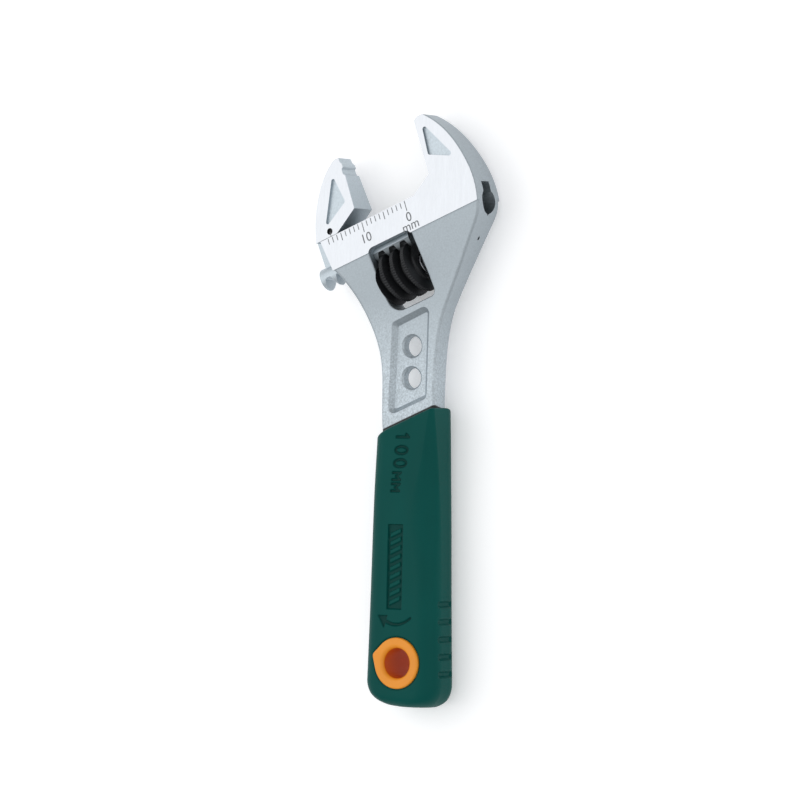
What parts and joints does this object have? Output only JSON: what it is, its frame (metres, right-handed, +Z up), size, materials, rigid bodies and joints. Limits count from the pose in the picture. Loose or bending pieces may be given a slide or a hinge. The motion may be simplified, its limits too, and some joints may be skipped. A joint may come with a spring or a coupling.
{
  "type": "adjustable wrench",
  "caption": "Small adjustable wrench: slanted jaws, rack-and-worm adjustment, pierced neck and a two-shot moulded handle with a hang ring.",
  "frame": {"origin": "centre of the bounding box's bottom face, with the wrench lying flat and its scale side up", "axes": "+X from the handle to the head, +Z up through the thickness, +Y towards the movable jaw"},
  "size_m": [0.1084, 0.0366, 0.0098],
  "materials": {
    "forged_steel": "blasted satin plating with ground and polished head faces",
    "jaw_steel": "ground and polished faces, satin edges",
    "black_steel": "black oxide, knurled",
    "pin_steel": "turned",
    "spring_steel": "drawn wire",
    "orange_plastic": "moulded, satin",
    "green_rubber": "matt moulded elastomer"
  },
  "bodies": {
    "wrench": {"body": "forged_steel", "worm_pin": "pin_steel", "worm_spring": "spring_steel", "handle_core": "orange_plastic", "grip": "green_rubber"},
    "jaw": {"movable_jaw": "jaw_steel"},
    "worm_wheel": {"worm": "black_steel"}
  },
  "joints": [
    {"name": "worm_spin", "type": "hinge", "parent": "wrench", "child": "worm_wheel", "pos_m": [0.02529, -0.00092, 0.0049], "axis": [0.3827, -0.9239, 0], "range_deg": [-2491.5, 173]},
    {"name": "jaw_slide", "type": "slide", "parent": "wrench", "child": "jaw", "axis": [0.3827, -0.9239, 0], "range_m": [-0.0012, 0.0173]}
  ],
  "couplings": [
    {"joint": "worm_spin", "follows": "jaw_slide", "rad_per_m": -2513.3}
  ]
}
